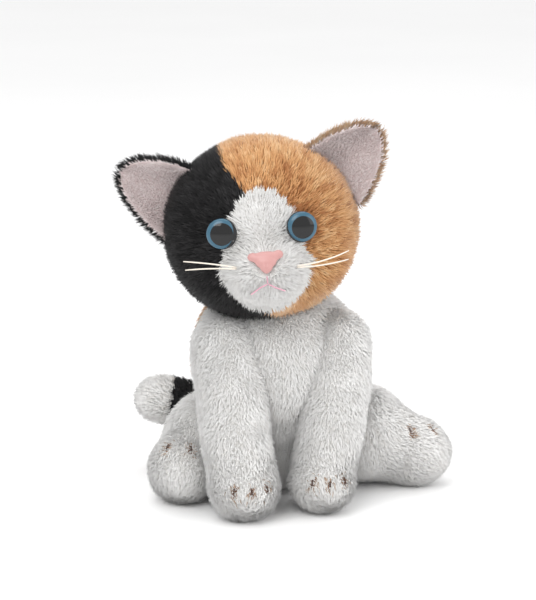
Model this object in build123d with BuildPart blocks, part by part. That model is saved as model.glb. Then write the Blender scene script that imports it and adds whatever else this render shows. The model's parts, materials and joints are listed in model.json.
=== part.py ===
"""A small sitting calico kitten, sewn from plush fabric and stuffed.

Frame: +Z up, the kitten faces -Y, its right side is -X, and the origin is the centre of the flat
seat that it sits on. Every piece is modelled where it sits at rest, in millimetres.

The torso is a ball-shaped chest on a wider seat. The neck turns and nods about the chest's own
centre, and the front legs swing about a line through it, so the round gaps between those bodies
stay the same all through their travel. The thighs and the tail's root are balls on vertical axes.
"""

import os
from math import cos, radians, sin, sqrt

from build123d import *

os.makedirs("parts", exist_ok=True)

# ---------------------------------------------------------------- driving dimensions

SKIN = 1.6  # plush backing with the dense foot of its pile
GAP = 0.4  # clearance between pieces that move against each other

CHEST_CENTRE = Vector(-4, -7, 55)  # also the neck's pivot and the shoulders' line
CHEST_R = 36
SEAT_CENTRE = Vector(0, 0, 21.5)
SEAT_RX = 31
SEAT_R = 27
BASE_PANEL_TOP = 5  # the sole panel's seam, above the ground
SADDLE_SEAM_TOP = Vector(-4, -5, 86)  # where the orange back meets the bib, on the shoulder
SADDLE_SEAM_LEAN = 11  # degrees that this seam leans back on its way down

NECK_OPENING_R = 17
NECK_PAD = 2.4

HEAD_CENTRE = Vector(-12.5, -18, 111)
HEAD_YAW = -11  # the head looks a little to its right
HEAD_ROLL = 5  # and tips towards its right shoulder
HEAD_RX = 38.5
HEAD_R = 35.5
CROWN_SEAM_SHIFT = -4  # the black and orange halves meet off the middle
CROWN_SEAM_LEAN = 6.5

MUZZLE_CENTRE = Vector(0.4, -30, -12)
MUZZLE_RX = 17
MUZZLE_R = 14.5
BLAZE_HALF_WIDTH = 6.5

EYE_X = 15.4
EYE_Z = 5.5
EYE_R = 6
EYE_BACK = 0.8
EYE_PAINT = 0.25
EYE_DOME = 3.2
PUPIL_R = 4.6
STEM_R = 1.6
WASHER_R = 6
WASHER = 1.2

NOSE_PITCH = 31  # degrees up the muzzle's round
NOSE_WIDTH = 13.6
NOSE_HEIGHT = 9.8
NOSE_DEPTH = 3

THREAD_R = 0.4
WHISKER_R = 0.3

EAR_BASE = 28
EAR_HEIGHT = 25
EAR_ROOT_R = 2.5
EAR_ROUND = 3.5  # the round of its tip and of its full sides
EAR_BACK = 2.1
EAR_LINING = 2.2
EAR_GROOVE_R = 3.6

LEG_R = 13
JOINT_SWELL = 0.6  # the rounded bends of a limb are a little fatter than its straights
PAW_R = 13.6
PAW_HALF_LENGTH = 16.5
PAW_SOLE = 12.6  # height of the paw's middle

THIGH_R = 20
THIGH_Z = 21
FOOT_R = 14.8
FOOT_Z = 14.4

TAIL_ROOT = Vector(-12, 31, 23)
TAIL_ROOT_R = 8.6
TAIL_TIP_R = 9.6
TAIL_LENGTH = 34  # between the centres of its two round ends
TAIL_TIP_LENGTH = 15
TAIL_BEARING = 171  # degrees from +X, seen from above
TAIL_RISE = 19
TAIL_BAND = (20, 35)  # the black band, measured from the root's centre

POUCH_CENTRE = Vector(1.5, 9, 10.8)
POUCH_RX = 12.5
POUCH_R = 8.4
POUCH_WALL = 0.6


def save(builder, name):
    """Label a finished piece and write its file."""
    builder.part.label = name
    export_step(builder.part, f"parts/{name}.step")


def merged(shapes):
    """Several shapes as one solid, for cutting with."""
    with BuildPart() as whole:
        for shape in shapes:
            add(shape)
    return whole.part


def ball(centre, radius):
    """A sphere about a point."""
    with BuildPart() as form:
        with Locations(centre):
            Sphere(radius)
    return form.part


def spheroid(plane, half_length, radius):
    """A ball drawn out along the plane's X axis."""
    with BuildPart() as form:
        Sphere(1)
        scale(by=(half_length, radius, radius))
    return form.part.moved(plane.location)


def rod(start, end, radius):
    """A round rod from one point to another."""
    with BuildPart() as form:
        with BuildSketch(Plane(origin=start, z_dir=end - start)):
            Circle(radius)
        extrude(amount=(end - start).length)
    return form.part


def slab(plane, size=200):
    """A block that fills the far side of a plane."""
    with BuildPart() as block:
        with BuildSketch(plane):
            Rectangle(size, size)
        extrude(amount=size)
    return block.part


def ground_slab(height):
    """Everything under a level."""
    return slab(Plane(origin=(0, 0, height), z_dir=(0, 0, -1)))


# ---------------------------------------------------------------- frames of the head

HEAD = Plane(
    origin=HEAD_CENTRE,
    x_dir=Vector(1, 0, 0).rotate(Axis.Y, -HEAD_ROLL).rotate(Axis.Z, HEAD_YAW),
    z_dir=Vector(0, 0, 1).rotate(Axis.Y, -HEAD_ROLL).rotate(Axis.Z, HEAD_YAW),
)


def at_head(x, y, z):
    """A point given in the head's own frame, which has the face at -y."""
    return HEAD.from_local_coords(Vector(x, y, z))


def head_direction(x, y, z):
    """A direction given in the head's own frame."""
    return at_head(x, y, z) - HEAD.origin


NECK_AXIS = (HEAD_CENTRE - CHEST_CENTRE).normalized()


def neck_plug(radius):
    """A rod up the neck, from the chest's centre."""
    return rod(CHEST_CENTRE, CHEST_CENTRE + NECK_AXIS * 60, radius)


# ---------------------------------------------------------------- torso

HIPS = {"right": Vector(-30, -1, THIGH_Z), "left": Vector(33, -4, THIGH_Z)}


def torso_form(inset):
    """The torso's bag, shrunk by inset on every side, with its sockets for the thighs and tail."""
    with BuildPart() as form:
        add(ball(CHEST_CENTRE, CHEST_R - inset))
        add(spheroid(Plane(origin=SEAT_CENTRE), SEAT_RX - inset, SEAT_R - inset))
        for hip in HIPS.values():
            add(ball(hip, THIGH_R + GAP + inset), mode=Mode.SUBTRACT)
        add(ball(TAIL_ROOT, TAIL_ROOT_R + GAP + inset), mode=Mode.SUBTRACT)
        add(ground_slab(inset), mode=Mode.SUBTRACT)
    return form.part


TORSO_OUTER = torso_form(0)
TORSO_INNER = torso_form(SKIN)
SADDLE_SIDE = slab(
    Plane(
        origin=SADDLE_SEAM_TOP,
        z_dir=Vector(0, 1, 0).rotate(Axis.X, SADDLE_SEAM_LEAN),
    )
)

# Ladder stitches that close the back after stuffing, across the spine's seam.
STITCH_COUNT = 6
STITCH_PITCH = 3.5
STITCH_LOW = 38
STITCH_HALF = 1.6


def closing_stitches():
    """Short level bars up the back, half sunk into the fabric."""
    bars = []
    for index in range(STITCH_COUNT):
        height = STITCH_LOW + index * STITCH_PITCH
        rise = height - CHEST_CENTRE.Z
        back = CHEST_CENTRE.Y + sqrt(CHEST_R**2 - rise**2)
        left = Vector(CHEST_CENTRE.X - STITCH_HALF, back, height)
        bars.append(rod(left, left + Vector(2 * STITCH_HALF, 0, 0), THREAD_R))
    return bars


CLOSING_STITCHES = closing_stitches()


def make_torso():
    """Bib, saddle and sole panels, the filling, and the pellet pouch in the seat."""
    with BuildPart() as skin:
        add(TORSO_OUTER)
        add(TORSO_INNER, mode=Mode.SUBTRACT)
        add(neck_plug(NECK_OPENING_R), mode=Mode.SUBTRACT)
    sole_side = ground_slab(BASE_PANEL_TOP)

    with BuildPart() as sole:
        add(skin.part)
        add(sole_side, mode=Mode.INTERSECT)
    save(sole, "torso_base_panel")

    with BuildPart() as bib:
        add(skin.part)
        add(sole_side, mode=Mode.SUBTRACT)
        add(SADDLE_SIDE, mode=Mode.SUBTRACT)
    save(bib, "torso_bib_panel")

    with BuildPart() as saddle:
        add(skin.part)
        add(SADDLE_SIDE, mode=Mode.INTERSECT)
        add(sole_side, mode=Mode.SUBTRACT)
        for bar in CLOSING_STITCHES:
            add(bar, mode=Mode.SUBTRACT)
    save(saddle, "torso_saddle_panel")

    with BuildPart() as stitches:
        for bar in CLOSING_STITCHES:
            add(bar)
    save(stitches, "back_closing_stitches")

    with BuildPart() as plug:
        add(TORSO_OUTER)
        add(neck_plug(NECK_OPENING_R), mode=Mode.INTERSECT)
    pouch_plane = Plane(origin=POUCH_CENTRE)
    with BuildPart() as filling:
        add(TORSO_INNER)
        add(plug.part)
        add(spheroid(pouch_plane, POUCH_RX, POUCH_R), mode=Mode.SUBTRACT)
    save(filling, "torso_stuffing")

    with BuildPart() as pouch:
        add(spheroid(pouch_plane, POUCH_RX, POUCH_R))
        add(
            spheroid(pouch_plane, POUCH_RX - POUCH_WALL, POUCH_R - POUCH_WALL),
            mode=Mode.SUBTRACT,
        )
    save(pouch, "seat_pellet_pouch")

    with BuildPart() as pellets:
        add(spheroid(pouch_plane, POUCH_RX - POUCH_WALL, POUCH_R - POUCH_WALL))
    save(pellets, "seat_pellets")


def make_neck():
    """The pad of packed filling between the chest and the head, round about the neck's pivot."""
    with BuildPart() as pad:
        add(ball(CHEST_CENTRE, CHEST_R + GAP + NECK_PAD))
        add(ball(CHEST_CENTRE, CHEST_R + GAP), mode=Mode.SUBTRACT)
        add(neck_plug(NECK_OPENING_R), mode=Mode.INTERSECT)
    save(pad, "neck_stuffing")


# ---------------------------------------------------------------- head

NECK_SEAT_R = CHEST_R + NECK_PAD + 2 * GAP


def ear_plane(root, outward):
    """An ear's own frame: X along its root, Y out to its tip, Z to the front."""
    up = head_direction(*outward).normalized()
    front = head_direction(0, -1, 0)
    return Plane(origin=at_head(*root), x_dir=up.cross(front), z_dir=front)


EARS = {
    "left": (ear_plane((30.6, 2, 19.4), (0.725, 0, 0.69)), 0.5),
    "right": (ear_plane((-34.2, 2, 14.2), (-0.885, 0, 0.466)), 6.0),
}


def eye_plane(side):
    """The frame of an eye's back face: Z points out along the gaze."""
    share = sqrt(1 - (EYE_X / HEAD_RX) ** 2 - (EYE_Z / HEAD_R) ** 2)
    surface = Vector(side * EYE_X, -HEAD_R * share, EYE_Z)
    normal = Vector(
        surface.X / HEAD_RX**2, surface.Y / HEAD_R**2, surface.Z / HEAD_R**2
    ).normalized()
    back = surface - normal * 0.6
    return Plane(origin=at_head(*back), z_dir=head_direction(*normal))


EYES = {"right": eye_plane(-1), "left": eye_plane(1)}

NOSE_SURFACE = MUZZLE_CENTRE + Vector(
    0, -cos(radians(NOSE_PITCH)), sin(radians(NOSE_PITCH))
) * (MUZZLE_R - 1)
NOSE = Plane(
    origin=at_head(*NOSE_SURFACE),
    x_dir=HEAD.x_dir,
    z_dir=head_direction(0, -cos(radians(NOSE_PITCH)), sin(radians(NOSE_PITCH))),
)


def in_plane(plane, depth, radius, length):
    """A rod square to a plane, starting at a depth under it and running further down."""
    top = plane.origin - plane.z_dir * depth
    return rod(top, top - plane.z_dir * length, radius)


STEM_LENGTH = 6
WASHER_DEPTH = 1.8


def eye_pocket(plane):
    """The round of fabric that an eye's back disc presses in."""
    return rod(plane.origin, plane.origin + plane.z_dir * 3, EYE_R + 0.1)


def stem_cut(plane):
    """The room that a stem and its washer take inside the head."""
    return merged(
        [
            in_plane(plane, 0, STEM_R, STEM_LENGTH),
            in_plane(plane, WASHER_DEPTH, WASHER_R, WASHER),
        ]
    )


def head_form(inset):
    """The head's bag with its muzzle, shrunk by inset."""
    muzzle_plane = Plane(
        origin=at_head(*MUZZLE_CENTRE), x_dir=HEAD.x_dir, z_dir=HEAD.z_dir
    )
    with BuildPart() as form:
        add(spheroid(HEAD, HEAD_RX - inset, HEAD_R - inset))
        add(spheroid(muzzle_plane, MUZZLE_RX - inset, MUZZLE_R - inset))
    return form.part


def head_clearance():
    """What the head's bag leaves free: the neck's seat and the ears' roots."""
    grooves = []
    for plane, _ in EARS.values():
        half = plane.x_dir * (EAR_BASE / 2 + 1)
        grooves.append(rod(plane.origin - half, plane.origin + half, EAR_GROOVE_R))
    return merged([ball(CHEST_CENTRE, NECK_SEAT_R)] + grooves)


def blaze_prism():
    """The outline of the white blaze and muzzle, run back through the face."""
    front = Plane(
        origin=at_head(0, -60, 0), x_dir=HEAD.x_dir, z_dir=head_direction(0, 1, 0)
    )
    half = BLAZE_HALF_WIDTH
    cheek = MUZZLE_RX + 0.4
    # The plane looks along +y, so its own Y axis points down the face.
    with BuildPart() as prism:
        with BuildSketch(front):
            with BuildLine():
                ThreePointArc((-half, -19), (0, -25), (half, -19))
                Polyline((half, -19), (11.5, -4), (cheek, 9))
                ThreePointArc((cheek, 9), (0, 27.5), (-cheek, 9))
                Polyline((-cheek, 9), (-11.5, -4), (-half, -19))
            make_face()
        extrude(amount=50)
    return prism.part


def on_muzzle(x, z):
    """A point on the muzzle's round face, in the head's frame."""
    across = x - MUZZLE_CENTRE.X
    ring = MUZZLE_R * sqrt(1 - (across / MUZZLE_RX) ** 2)
    rise = z - MUZZLE_CENTRE.Z
    return Vector(x, MUZZLE_CENTRE.Y - sqrt(ring**2 - rise**2), z)


def mouth_stitches():
    """The thread of the mouth: a short drop from the nose and a branch to each side."""
    drop = [on_muzzle(0.4, -10.4), on_muzzle(0.4, -13)]
    strands = [drop]
    for side in (-1, 1):
        strands.append([on_muzzle(0.4 + side * 1.1, -13.7), on_muzzle(0.4 + side * 6.4, -17)])
    return [rod(at_head(*start), at_head(*end), THREAD_R) for start, end in strands]


WHISKERS = {
    "right": [
        ((-11.3, -38.9, -6.6), (-30.6, -37, -2.8)),
        ((-11.3, -38.9, -7.6), (-30.4, -37, -6.1)),
    ],
    "left": [
        ((12.4, -38.6, -8.2), (32.1, -36.5, -4.6)),
        ((12.4, -38.6, -9.2), (31.8, -36.5, -8)),
    ],
}


def whisker_rods(side):
    """The two waxed threads of one side."""
    return [
        rod(at_head(*start), at_head(*end), WHISKER_R)
        for start, end in WHISKERS[side]
    ]


def make_eye(side, plane):
    """A moulded eye: black back with its stem, blue ring, pupil, clear dome and lock washer."""
    with BuildPart() as back:
        add(rod(plane.origin, plane.origin + plane.z_dir * EYE_BACK, EYE_R))
        add(in_plane(plane, 0, STEM_R, STEM_LENGTH))
    save(back, f"eye_back_{side}")

    paint = plane.offset(EYE_BACK)
    with BuildPart() as iris:
        with BuildSketch(paint):
            Circle(EYE_R)
            Circle(PUPIL_R, mode=Mode.SUBTRACT)
        extrude(amount=EYE_PAINT)
    save(iris, f"eye_iris_{side}")

    with BuildPart() as pupil:
        with BuildSketch(paint):
            Circle(PUPIL_R)
        extrude(amount=EYE_PAINT)
    save(pupil, f"eye_pupil_{side}")

    dome_r = (EYE_R**2 + EYE_DOME**2) / (2 * EYE_DOME)
    face = plane.offset(EYE_BACK + EYE_PAINT)
    with BuildPart() as lens:
        add(ball(face.origin - face.z_dir * (dome_r - EYE_DOME), dome_r))
        add(slab(Plane(origin=face.origin, z_dir=-face.z_dir)), mode=Mode.SUBTRACT)
    save(lens, f"eye_lens_{side}")

    with BuildPart() as washer:
        add(in_plane(plane, WASHER_DEPTH, WASHER_R, WASHER))
        add(in_plane(plane, 0, STEM_R, STEM_LENGTH), mode=Mode.SUBTRACT)
    save(washer, f"eye_washer_{side}")


def make_nose():
    """The nose with its stem, and the washer that locks it."""
    with BuildPart() as cap:
        with BuildSketch(NOSE) as outline:
            with BuildLine():
                Polyline(
                    (-NOSE_WIDTH / 2 - 1, NOSE_HEIGHT / 2),
                    (NOSE_WIDTH / 2 + 1, NOSE_HEIGHT / 2),
                    (0, -NOSE_HEIGHT * 0.75),
                    close=True,
                )
            make_face()
            fillet(outline.vertices(), 2.4)
        extrude(amount=NOSE_DEPTH)
        top = cap.faces().sort_by(Axis(NOSE.origin, NOSE.z_dir))[-1]
        fillet(top.edges(), 1.8)
        add(in_plane(NOSE, 0, STEM_R, STEM_LENGTH))
    save(cap, "nose")

    with BuildPart() as washer:
        add(in_plane(NOSE, WASHER_DEPTH, WASHER_R, WASHER))
        add(in_plane(NOSE, 0, STEM_R, STEM_LENGTH), mode=Mode.SUBTRACT)
    save(washer, "nose_washer")
    return cap.part


def make_head():
    """The three panels of the head, its filling, its face and its whiskers."""
    nose = make_nose()
    for side, plane in EYES.items():
        make_eye(side, plane)
    mouth = mouth_stitches()
    clearance = head_clearance()
    hard_parts = merged(
        [stem_cut(plane) for plane in EYES.values()]
        + [stem_cut(NOSE), nose]
        + [eye_pocket(plane) for plane in EYES.values()]
    )
    trims = mouth + whisker_rods("left") + whisker_rods("right")

    with BuildPart() as skin:
        add(head_form(0))
        add(head_form(SKIN), mode=Mode.SUBTRACT)
        add(clearance, mode=Mode.SUBTRACT)
        add(hard_parts, mode=Mode.SUBTRACT)
        for trim in trims:
            add(trim, mode=Mode.SUBTRACT)
    blaze_side = blaze_prism()
    seam = Plane(
        origin=at_head(CROWN_SEAM_SHIFT, 0, 0),
        z_dir=head_direction(
            cos(radians(CROWN_SEAM_LEAN)), 0, sin(radians(CROWN_SEAM_LEAN))
        ),
    )
    orange_side = slab(seam)

    with BuildPart() as blaze:
        add(skin.part)
        add(blaze_side, mode=Mode.INTERSECT)
    save(blaze, "head_blaze_panel")

    with BuildPart() as orange:
        add(skin.part)
        add(blaze_side, mode=Mode.SUBTRACT)
        add(orange_side, mode=Mode.INTERSECT)
    save(orange, "head_orange_panel")

    with BuildPart() as black:
        add(skin.part)
        add(blaze_side, mode=Mode.SUBTRACT)
        add(orange_side, mode=Mode.SUBTRACT)
    save(black, "head_black_panel")

    with BuildPart() as filling:
        add(head_form(SKIN))
        add(clearance, mode=Mode.SUBTRACT)
        add(hard_parts, mode=Mode.SUBTRACT)
    save(filling, "head_stuffing")

    with BuildPart() as stitches:
        for strand in mouth:
            add(strand)
    save(stitches, "mouth_stitches")

    for side in WHISKERS:
        with BuildPart() as pair:
            for thread in whisker_rods(side):
                add(thread)
        save(pair, f"whiskers_{side}")


def ear_outline(plane, lean, base, height, low):
    """A sketch of an ear: a triangle on its root with a round tip and full sides."""
    with BuildSketch(plane) as outline:
        with BuildLine():
            Polyline(
                (-base / 2, low),
                (base / 2, low),
                (base * 0.36 + lean * 0.5, height * 0.54),
                (lean, height + 1.5),
                (-base * 0.36 + lean * 0.5, height * 0.54),
                close=True,
            )
        make_face()
        fillet(outline.vertices().sort_by(Axis.Y)[2:], EAR_ROUND)
    return outline.sketch


def make_ear(side, plane, lean):
    """An ear's plush back, rolled at its root, and its lining on the front."""
    half = plane.x_dir * (EAR_BASE / 2)
    root = rod(plane.origin - half, plane.origin + half, EAR_ROOT_R)
    with BuildPart() as back:
        add(ear_outline(plane, lean, EAR_BASE - 1.2, EAR_HEIGHT, 0.7))
        extrude(amount=EAR_BACK, dir=-plane.z_dir)
        add(root)
    save(back, f"ear_back_{side}")

    with BuildPart() as lining:
        add(ear_outline(plane, lean, EAR_BASE - 3, EAR_HEIGHT - 2, EAR_ROOT_R + 0.1))
        extrude(amount=EAR_LINING, dir=plane.z_dir)
    save(lining, f"ear_lining_{side}")


# ---------------------------------------------------------------- front legs

FRONT_LEGS = {
    "right": {
        "shoulder": Vector(-27, -23, 63),
        "elbow": Vector(-28, -35, 41),
        "paw": Vector(-25.2, -48, PAW_SOLE),
        "paw_r": PAW_R,
    },
    "left": {
        "shoulder": Vector(19, -27, 63),
        "elbow": Vector(12.6, -36, 42),
        "paw": Vector(7.2, -43, PAW_SOLE),
        "paw_r": PAW_R - 0.6,
    },
}


def front_leg_form(leg, inset):
    """A front leg's bag: a tube from the shoulder to a long round paw, flat underneath."""
    stations = [leg["shoulder"], leg["elbow"], leg["paw"]]
    with BuildPart() as form:
        for top, bottom in zip(stations, stations[1:]):
            add(ball(top, LEG_R + JOINT_SWELL - inset))
            add(rod(top, bottom, LEG_R - inset))
        paw_plane = Plane(origin=leg["paw"], x_dir=(0, 1, 0), z_dir=(0, 0, 1))
        add(spheroid(paw_plane, PAW_HALF_LENGTH - inset, leg["paw_r"] - inset))
        add(ball(CHEST_CENTRE, CHEST_R + GAP + inset), mode=Mode.SUBTRACT)
        add(ground_slab(inset), mode=Mode.SUBTRACT)
    return form.part


def toe_marks(centre, heading, half_length, radius, spread, rise, count):
    """Short upright stitches that pinch the toes, on the round front of a paw or foot."""
    marks = []
    for index in range(count):
        turn = spread * (index - (count - 1) / 2)
        ahead = Vector(cos(radians(heading + turn)), sin(radians(heading + turn)), 0)
        # Distance from the centre to the spheroid's surface in this direction, at this height.
        level = rise / radius
        along = half_length * cos(radians(turn)) ** 2 + radius * sin(radians(turn)) ** 2
        reach = along * sqrt(1 - level**2)
        low = centre + ahead * (reach - 0.1) + Vector(0, 0, rise - 2.2)
        high = centre + ahead * (reach - 1.5) + Vector(0, 0, rise + 2.2)
        marks.append(rod(low, high, THREAD_R))
    return marks


def make_bag(name, outer, inner, marks):
    """A sewn bag, its filling and the toe stitches sunk in it."""
    with BuildPart() as skin:
        add(outer)
        add(inner, mode=Mode.SUBTRACT)
        for mark in marks:
            add(mark, mode=Mode.SUBTRACT)
    save(skin, f"{name}_skin")

    with BuildPart() as filling:
        add(inner)
    save(filling, f"{name}_stuffing")

    with BuildPart() as stitches:
        for mark in marks:
            add(mark)
    save(stitches, f"{name}_toe_stitches")


def make_front_legs():
    """Both front legs."""
    for side, leg in FRONT_LEGS.items():
        marks = toe_marks(leg["paw"], -90, PAW_HALF_LENGTH, leg["paw_r"], 34, 4, 3)
        make_bag(
            f"front_leg_{side}",
            front_leg_form(leg, 0),
            front_leg_form(leg, SKIN),
            marks,
        )


# ---------------------------------------------------------------- hind legs

HIND_FEET = {
    "right": {"centre": Vector(-44, -15, FOOT_Z), "heading": -113, "half_length": 18},
    "left": {"centre": Vector(52, -11, FOOT_Z), "heading": -38, "half_length": 16.5},
}


def hind_leg_form(side, inset):
    """A hind leg's bag: a ball of a thigh and a foot that points out of it."""
    foot = HIND_FEET[side]
    ahead = Vector(cos(radians(foot["heading"])), sin(radians(foot["heading"])), 0)
    with BuildPart() as form:
        add(ball(HIPS[side], THIGH_R - inset))
        plane = Plane(origin=foot["centre"], x_dir=ahead, z_dir=(0, 0, 1))
        add(spheroid(plane, foot["half_length"] - inset, FOOT_R - inset))
        add(ground_slab(inset), mode=Mode.SUBTRACT)
    return form.part


def make_hind_legs():
    """Both hind legs."""
    for side, foot in HIND_FEET.items():
        marks = toe_marks(
            foot["centre"], foot["heading"], foot["half_length"], FOOT_R, 40, 3, 2
        )
        make_bag(
            f"hind_leg_{side}",
            hind_leg_form(side, 0),
            hind_leg_form(side, SKIN),
            marks,
        )


# ---------------------------------------------------------------- tail

TAIL_AHEAD = Vector(
    cos(radians(TAIL_BEARING)) * cos(radians(TAIL_RISE)),
    sin(radians(TAIL_BEARING)) * cos(radians(TAIL_RISE)),
    sin(radians(TAIL_RISE)),
)


def tail_form(inset):
    """The tail's bag: a tube from its round root to a fatter round tip."""
    tip = TAIL_ROOT + TAIL_AHEAD * TAIL_LENGTH
    with BuildPart() as form:
        add(ball(TAIL_ROOT, TAIL_ROOT_R - inset))
        add(rod(TAIL_ROOT, tip, TAIL_ROOT_R - JOINT_SWELL - inset))
        tip_plane = Plane(origin=tip, z_dir=TAIL_AHEAD.cross(Vector(0, 0, 1)), x_dir=TAIL_AHEAD)
        add(spheroid(tip_plane, TAIL_TIP_LENGTH - inset, TAIL_TIP_R - inset))
    return form.part


def make_tail():
    """Orange root, black band and white tip, over one filling."""
    inner = tail_form(SKIN)
    beyond = {
        mark: slab(Plane(origin=TAIL_ROOT + TAIL_AHEAD * mark, z_dir=TAIL_AHEAD))
        for mark in TAIL_BAND
    }
    with BuildPart() as skin:
        add(tail_form(0))
        add(inner, mode=Mode.SUBTRACT)
    with BuildPart() as root:
        add(skin.part)
        add(beyond[TAIL_BAND[0]], mode=Mode.SUBTRACT)
    save(root, "tail_root_skin")
    with BuildPart() as band:
        add(skin.part)
        add(beyond[TAIL_BAND[0]], mode=Mode.INTERSECT)
        add(beyond[TAIL_BAND[1]], mode=Mode.SUBTRACT)
    save(band, "tail_band_skin")
    with BuildPart() as tip:
        add(tail_form(0))
        add(beyond[TAIL_BAND[1]], mode=Mode.INTERSECT)
        add(inner, mode=Mode.SUBTRACT)
    save(tip, "tail_tip_skin")
    with BuildPart() as filling:
        add(inner)
    save(filling, "tail_stuffing")


make_torso()
make_neck()
make_head()
for ear_side, (ear_frame, ear_lean) in EARS.items():
    make_ear(ear_side, ear_frame, ear_lean)
make_front_legs()
make_hind_legs()
make_tail()
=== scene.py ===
"""The looks of a small sitting calico kitten plush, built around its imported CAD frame.

The head, torso, legs and tail are smooth sewn skins, blown up a little by a short cloth
simulation, and the ears are cupped shells. All carry a plush pile of real fibres, which is combed
and clumped by plain functions of place, and each panel has its own tints.
"""

import json
import math

import bmesh
import bpy
import numpy as np
from mathutils import Matrix, Vector
from mathutils.bvhtree import BVHTree


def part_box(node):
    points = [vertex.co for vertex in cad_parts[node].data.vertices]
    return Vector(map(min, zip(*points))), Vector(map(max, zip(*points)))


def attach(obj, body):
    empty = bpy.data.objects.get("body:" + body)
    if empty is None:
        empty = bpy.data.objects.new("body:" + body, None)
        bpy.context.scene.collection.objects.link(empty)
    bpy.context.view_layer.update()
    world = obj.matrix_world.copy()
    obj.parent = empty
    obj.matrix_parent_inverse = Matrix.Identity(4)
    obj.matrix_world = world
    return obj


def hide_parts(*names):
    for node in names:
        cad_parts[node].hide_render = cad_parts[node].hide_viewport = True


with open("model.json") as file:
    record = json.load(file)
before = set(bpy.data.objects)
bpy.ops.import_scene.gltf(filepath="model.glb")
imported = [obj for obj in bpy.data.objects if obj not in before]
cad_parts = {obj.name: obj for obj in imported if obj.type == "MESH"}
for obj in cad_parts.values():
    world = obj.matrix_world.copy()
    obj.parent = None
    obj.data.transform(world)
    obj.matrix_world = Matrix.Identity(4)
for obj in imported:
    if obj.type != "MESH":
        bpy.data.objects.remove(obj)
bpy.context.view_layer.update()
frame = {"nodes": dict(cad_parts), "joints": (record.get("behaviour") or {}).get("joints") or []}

MM = 0.001
SCENE = bpy.context.scene


def mm(*values):
    """A point given in millimetres, as metres."""
    return np.array(values, float) * MM


# ---------------------------------------------------------------- places: the chest, hips and tail root from the frame, and the head's

JOINTS = {joint["name"]: joint for joint in frame["joints"]}
CHEST = np.array(JOINTS["neck_turn"]["pos_m"])
HIP = {side: np.array(JOINTS[f"hind_leg_splay_{side}"]["pos_m"]) for side in ("left", "right")}
TAIL_ROOT = np.array(JOINTS["tail_swing"]["pos_m"])

HEAD_CENTRE = mm(-12.5, -18, 111)
HEAD_TURN = Matrix.Rotation(math.radians(-11), 3, "Z") @ Matrix.Rotation(math.radians(-5), 3, "Y")
HEAD_AXES = np.array(HEAD_TURN)


def head_point(x, y, z):
    """A point of the head's own frame (millimetres, face at -y) in the shared frame."""
    return HEAD_CENTRE + HEAD_AXES @ mm(x, y, z)


def in_head(points):
    """Shared-frame points in the head's own frame, in millimetres."""
    return (points - HEAD_CENTRE) @ HEAD_AXES / MM


# ---------------------------------------------------------------- noise by plain functions


def hashed(cells, seed):
    """Three even random numbers from -1 to 1 for each whole-number cell."""
    cells = cells.astype(np.int64)
    out = np.empty(cells.shape, float)
    for axis in range(3):
        mix = (
            cells[..., 0] * 73856093
            ^ cells[..., 1] * 19349663
            ^ cells[..., 2] * 83492791
            ^ (seed * 7919 + axis * 104729)
        )
        mix = (mix ^ (mix >> 13)) * 1274126177
        mix = mix ^ (mix >> 16)
        out[..., axis] = (mix & 0xFFFF) / 32767.5 - 1
    return out


def drift(points, cell, seed):
    """Smooth vector noise, about one wave to each cell."""
    scaled = points / cell
    low = np.floor(scaled)
    part = scaled - low
    part = part * part * (3 - 2 * part)
    total = np.zeros_like(points)
    for corner in np.ndindex(2, 2, 2):
        x, y, z = np.where(corner, part, 1 - part).T
        total += hashed(low + corner, seed) * (x * y * z)[:, None]
    return total


def tuft_of(points, cell, seed):
    """The nearest tuft's middle, and a random number that the whole tuft shares."""
    low = np.floor(points / cell)
    best = np.full(len(points), np.inf)
    middle = np.zeros_like(points)
    share = np.zeros(len(points))
    for step in np.ndindex(3, 3, 3):
        here = low + step - 1
        spot = (here + 0.5 + 0.45 * hashed(here, seed)) * cell
        away = ((points - spot) ** 2).sum(1)
        nearer = away < best
        best[nearer] = away[nearer]
        middle[nearer] = spot[nearer]
        share[nearer] = 0.5 + 0.5 * hashed(here, seed + 1)[nearer, 0]
    return middle, share


def even_length(millimetres):
    """A coat's length, the same at every root."""
    return lambda points: np.full(len(points), millimetres)


def unit(vectors):
    """Vectors made one long."""
    return vectors / np.maximum(np.linalg.norm(vectors, axis=1, keepdims=True), 1e-9)


def ramp(value, low, high):
    """0 below low, 1 above high, smooth between."""
    t = np.clip((value - low) / (high - low), 0, 1)
    return t * t * (3 - 2 * t)


# ---------------------------------------------------------------- materials


def shader(name):
    """A new node material and its main shader."""
    made = bpy.data.materials.new(name)
    made.use_nodes = True
    return made, made.node_tree, made.node_tree.nodes["Principled BSDF"]


def set_inputs(node, values):
    """Constants on a node's own sockets."""
    for key, value in values.items():
        node.inputs[key].default_value = value


def texture(tree, kind, values):
    """A texture node laid by the object's own coordinates."""
    place = tree.nodes.new("ShaderNodeTexCoord")
    node = tree.nodes.new(kind)
    set_inputs(node, values)
    tree.links.new(place.outputs["Object"], node.inputs["Vector"])
    return node


def ramp_node(tree, source, stops):
    """A colour ramp fed by a socket."""
    node = tree.nodes.new("ShaderNodeValToRGB")
    while len(node.color_ramp.elements) < len(stops):
        node.color_ramp.elements.new(0.5)
    for element, (place, colour) in zip(node.color_ramp.elements, stops):
        element.position = place
        element.color = (*colour, 1)
    tree.links.new(source, node.inputs["Fac"])
    return node


def bump(tree, source, strength, distance, shader_node):
    """Relief from a socket."""
    node = tree.nodes.new("ShaderNodeBump")
    set_inputs(node, {"Strength": strength, "Distance": distance})
    tree.links.new(source, node.inputs["Height"])
    tree.links.new(node.outputs["Normal"], shader_node.inputs["Normal"])


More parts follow.
